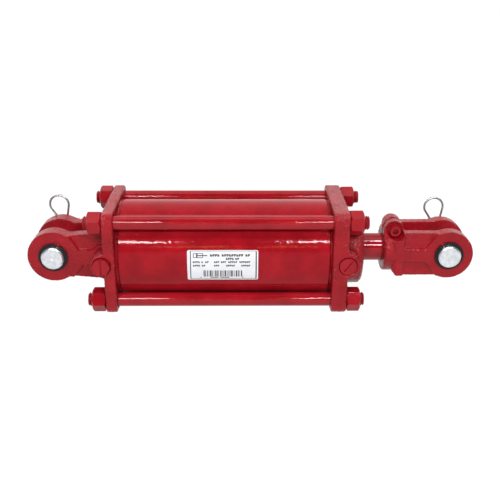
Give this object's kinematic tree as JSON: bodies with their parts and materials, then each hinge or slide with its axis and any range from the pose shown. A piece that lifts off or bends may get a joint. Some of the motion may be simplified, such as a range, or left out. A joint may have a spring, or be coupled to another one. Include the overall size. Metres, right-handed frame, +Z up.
{
  "type": "hydraulic cylinder",
  "caption": "Double-acting tie-rod hydraulic cylinder with square caps, a clevis and pin at each end, side ports with plugs, and a clamped rod clevis.",
  "frame": {"origin": "centre of the base clevis pin, midway between the two ears", "axes": "+X along the barrel from the base pin to the rod pin, +Y along the clevis pins away from the ports, +Z up, square to the cap plates' lower faces"},
  "size_m": [0.5045, 0.1219, 0.1189],
  "materials": {
    "red_casting": "gloss paint over cast iron",
    "red_steel": "gloss paint over smooth steel",
    "zinc_steel": "bright zinc plate",
    "plain_steel": "oiled steel",
    "black_steel": "black oxide",
    "bare_iron": "turned",
    "bearing_bronze": "turned",
    "nitrile_rubber": "matte",
    "polyurethane": "satin",
    "wear_band": "matte",
    "backup_plastic": "matte",
    "label_film": "semi-gloss film"
  },
  "bodies": {
    "barrel": {"base_cap": "red_casting", "barrel_tube": "red_steel", "head_cap": "red_casting", "tie_rod_front_top": "red_steel", "tie_rod_back_top": "red_steel", "tie_rod_front_bottom": "red_steel", "tie_rod_back_bottom": "red_steel", "base_nuts": "red_steel", "head_nuts": "red_steel", "base_port_plug": "red_steel", "head_port_plug": "red_steel", "label": "label_film", "base_oring": "nitrile_rubber", "base_backup_ring": "backup_plastic", "head_oring": "nitrile_rubber", "head_backup_ring": "backup_plastic", "rod_bushing": "bearing_bronze", "rod_seal": "polyurethane", "rod_wiper": "nitrile_rubber"},
    "piston_seals": {"piston_seal_rear": "polyurethane", "piston_seal_front": "polyurethane", "piston_wear_ring": "wear_band"},
    "rod": {"piston_rod": "red_steel", "piston": "bare_iron", "piston_oring": "nitrile_rubber", "piston_nut": "plain_steel", "rod_clevis": "red_casting", "clamp_screw": "red_steel"},
    "base_pin_ring": {"base_snap_ring": "black_steel"},
    "base_pin_body": {"base_pin": "zinc_steel"},
    "base_clip_body": {"base_clip": "zinc_steel"},
    "rod_pin_ring": {"rod_snap_ring": "black_steel"},
    "rod_pin_body": {"rod_pin": "zinc_steel"},
    "rod_clip_body": {"rod_clip": "zinc_steel"}
  },
  "joints": [
    {"name": "rod_slide", "type": "slide", "parent": "barrel", "child": "piston_seals", "axis": [1, 0, 0], "range_m": [0, 0.1524]},
    {"name": "rod_turn", "type": "hinge", "parent": "piston_seals", "child": "rod", "pos_m": [0, 0, 0], "axis": [1, 0, 0], "continuous": true},
    {"name": "base_pin_pull", "type": "slide", "parent": "barrel", "child": "base_pin_ring", "axis": [0, -1, 0], "range_m": [0, 0.09]},
    {"name": "base_pin_turn", "type": "hinge", "parent": "base_pin_ring", "child": "base_pin_body", "pos_m": [0, 0, 0], "axis": [0, 1, 0], "continuous": true},
    {"name": "base_clip_pull", "type": "slide", "parent": "base_pin_body", "child": "base_clip_body", "axis": [0.1736, 0, 0.9848], "range_m": [0, 0.036], "deforming": ["base_clip"]},
    {"name": "rod_pin_pull", "type": "slide", "parent": "rod", "child": "rod_pin_ring", "axis": [0, -1, 0], "range_m": [0, 0.09]},
    {"name": "rod_pin_turn", "type": "hinge", "parent": "rod_pin_ring", "child": "rod_pin_body", "pos_m": [0.4471, 0, 0], "axis": [0, 1, 0], "continuous": true},
    {"name": "rod_clip_pull", "type": "slide", "parent": "rod_pin_body", "child": "rod_clip_body", "axis": [0.165, 0, 0.9863], "range_m": [0, 0.036], "deforming": ["rod_clip"]}
  ]
}
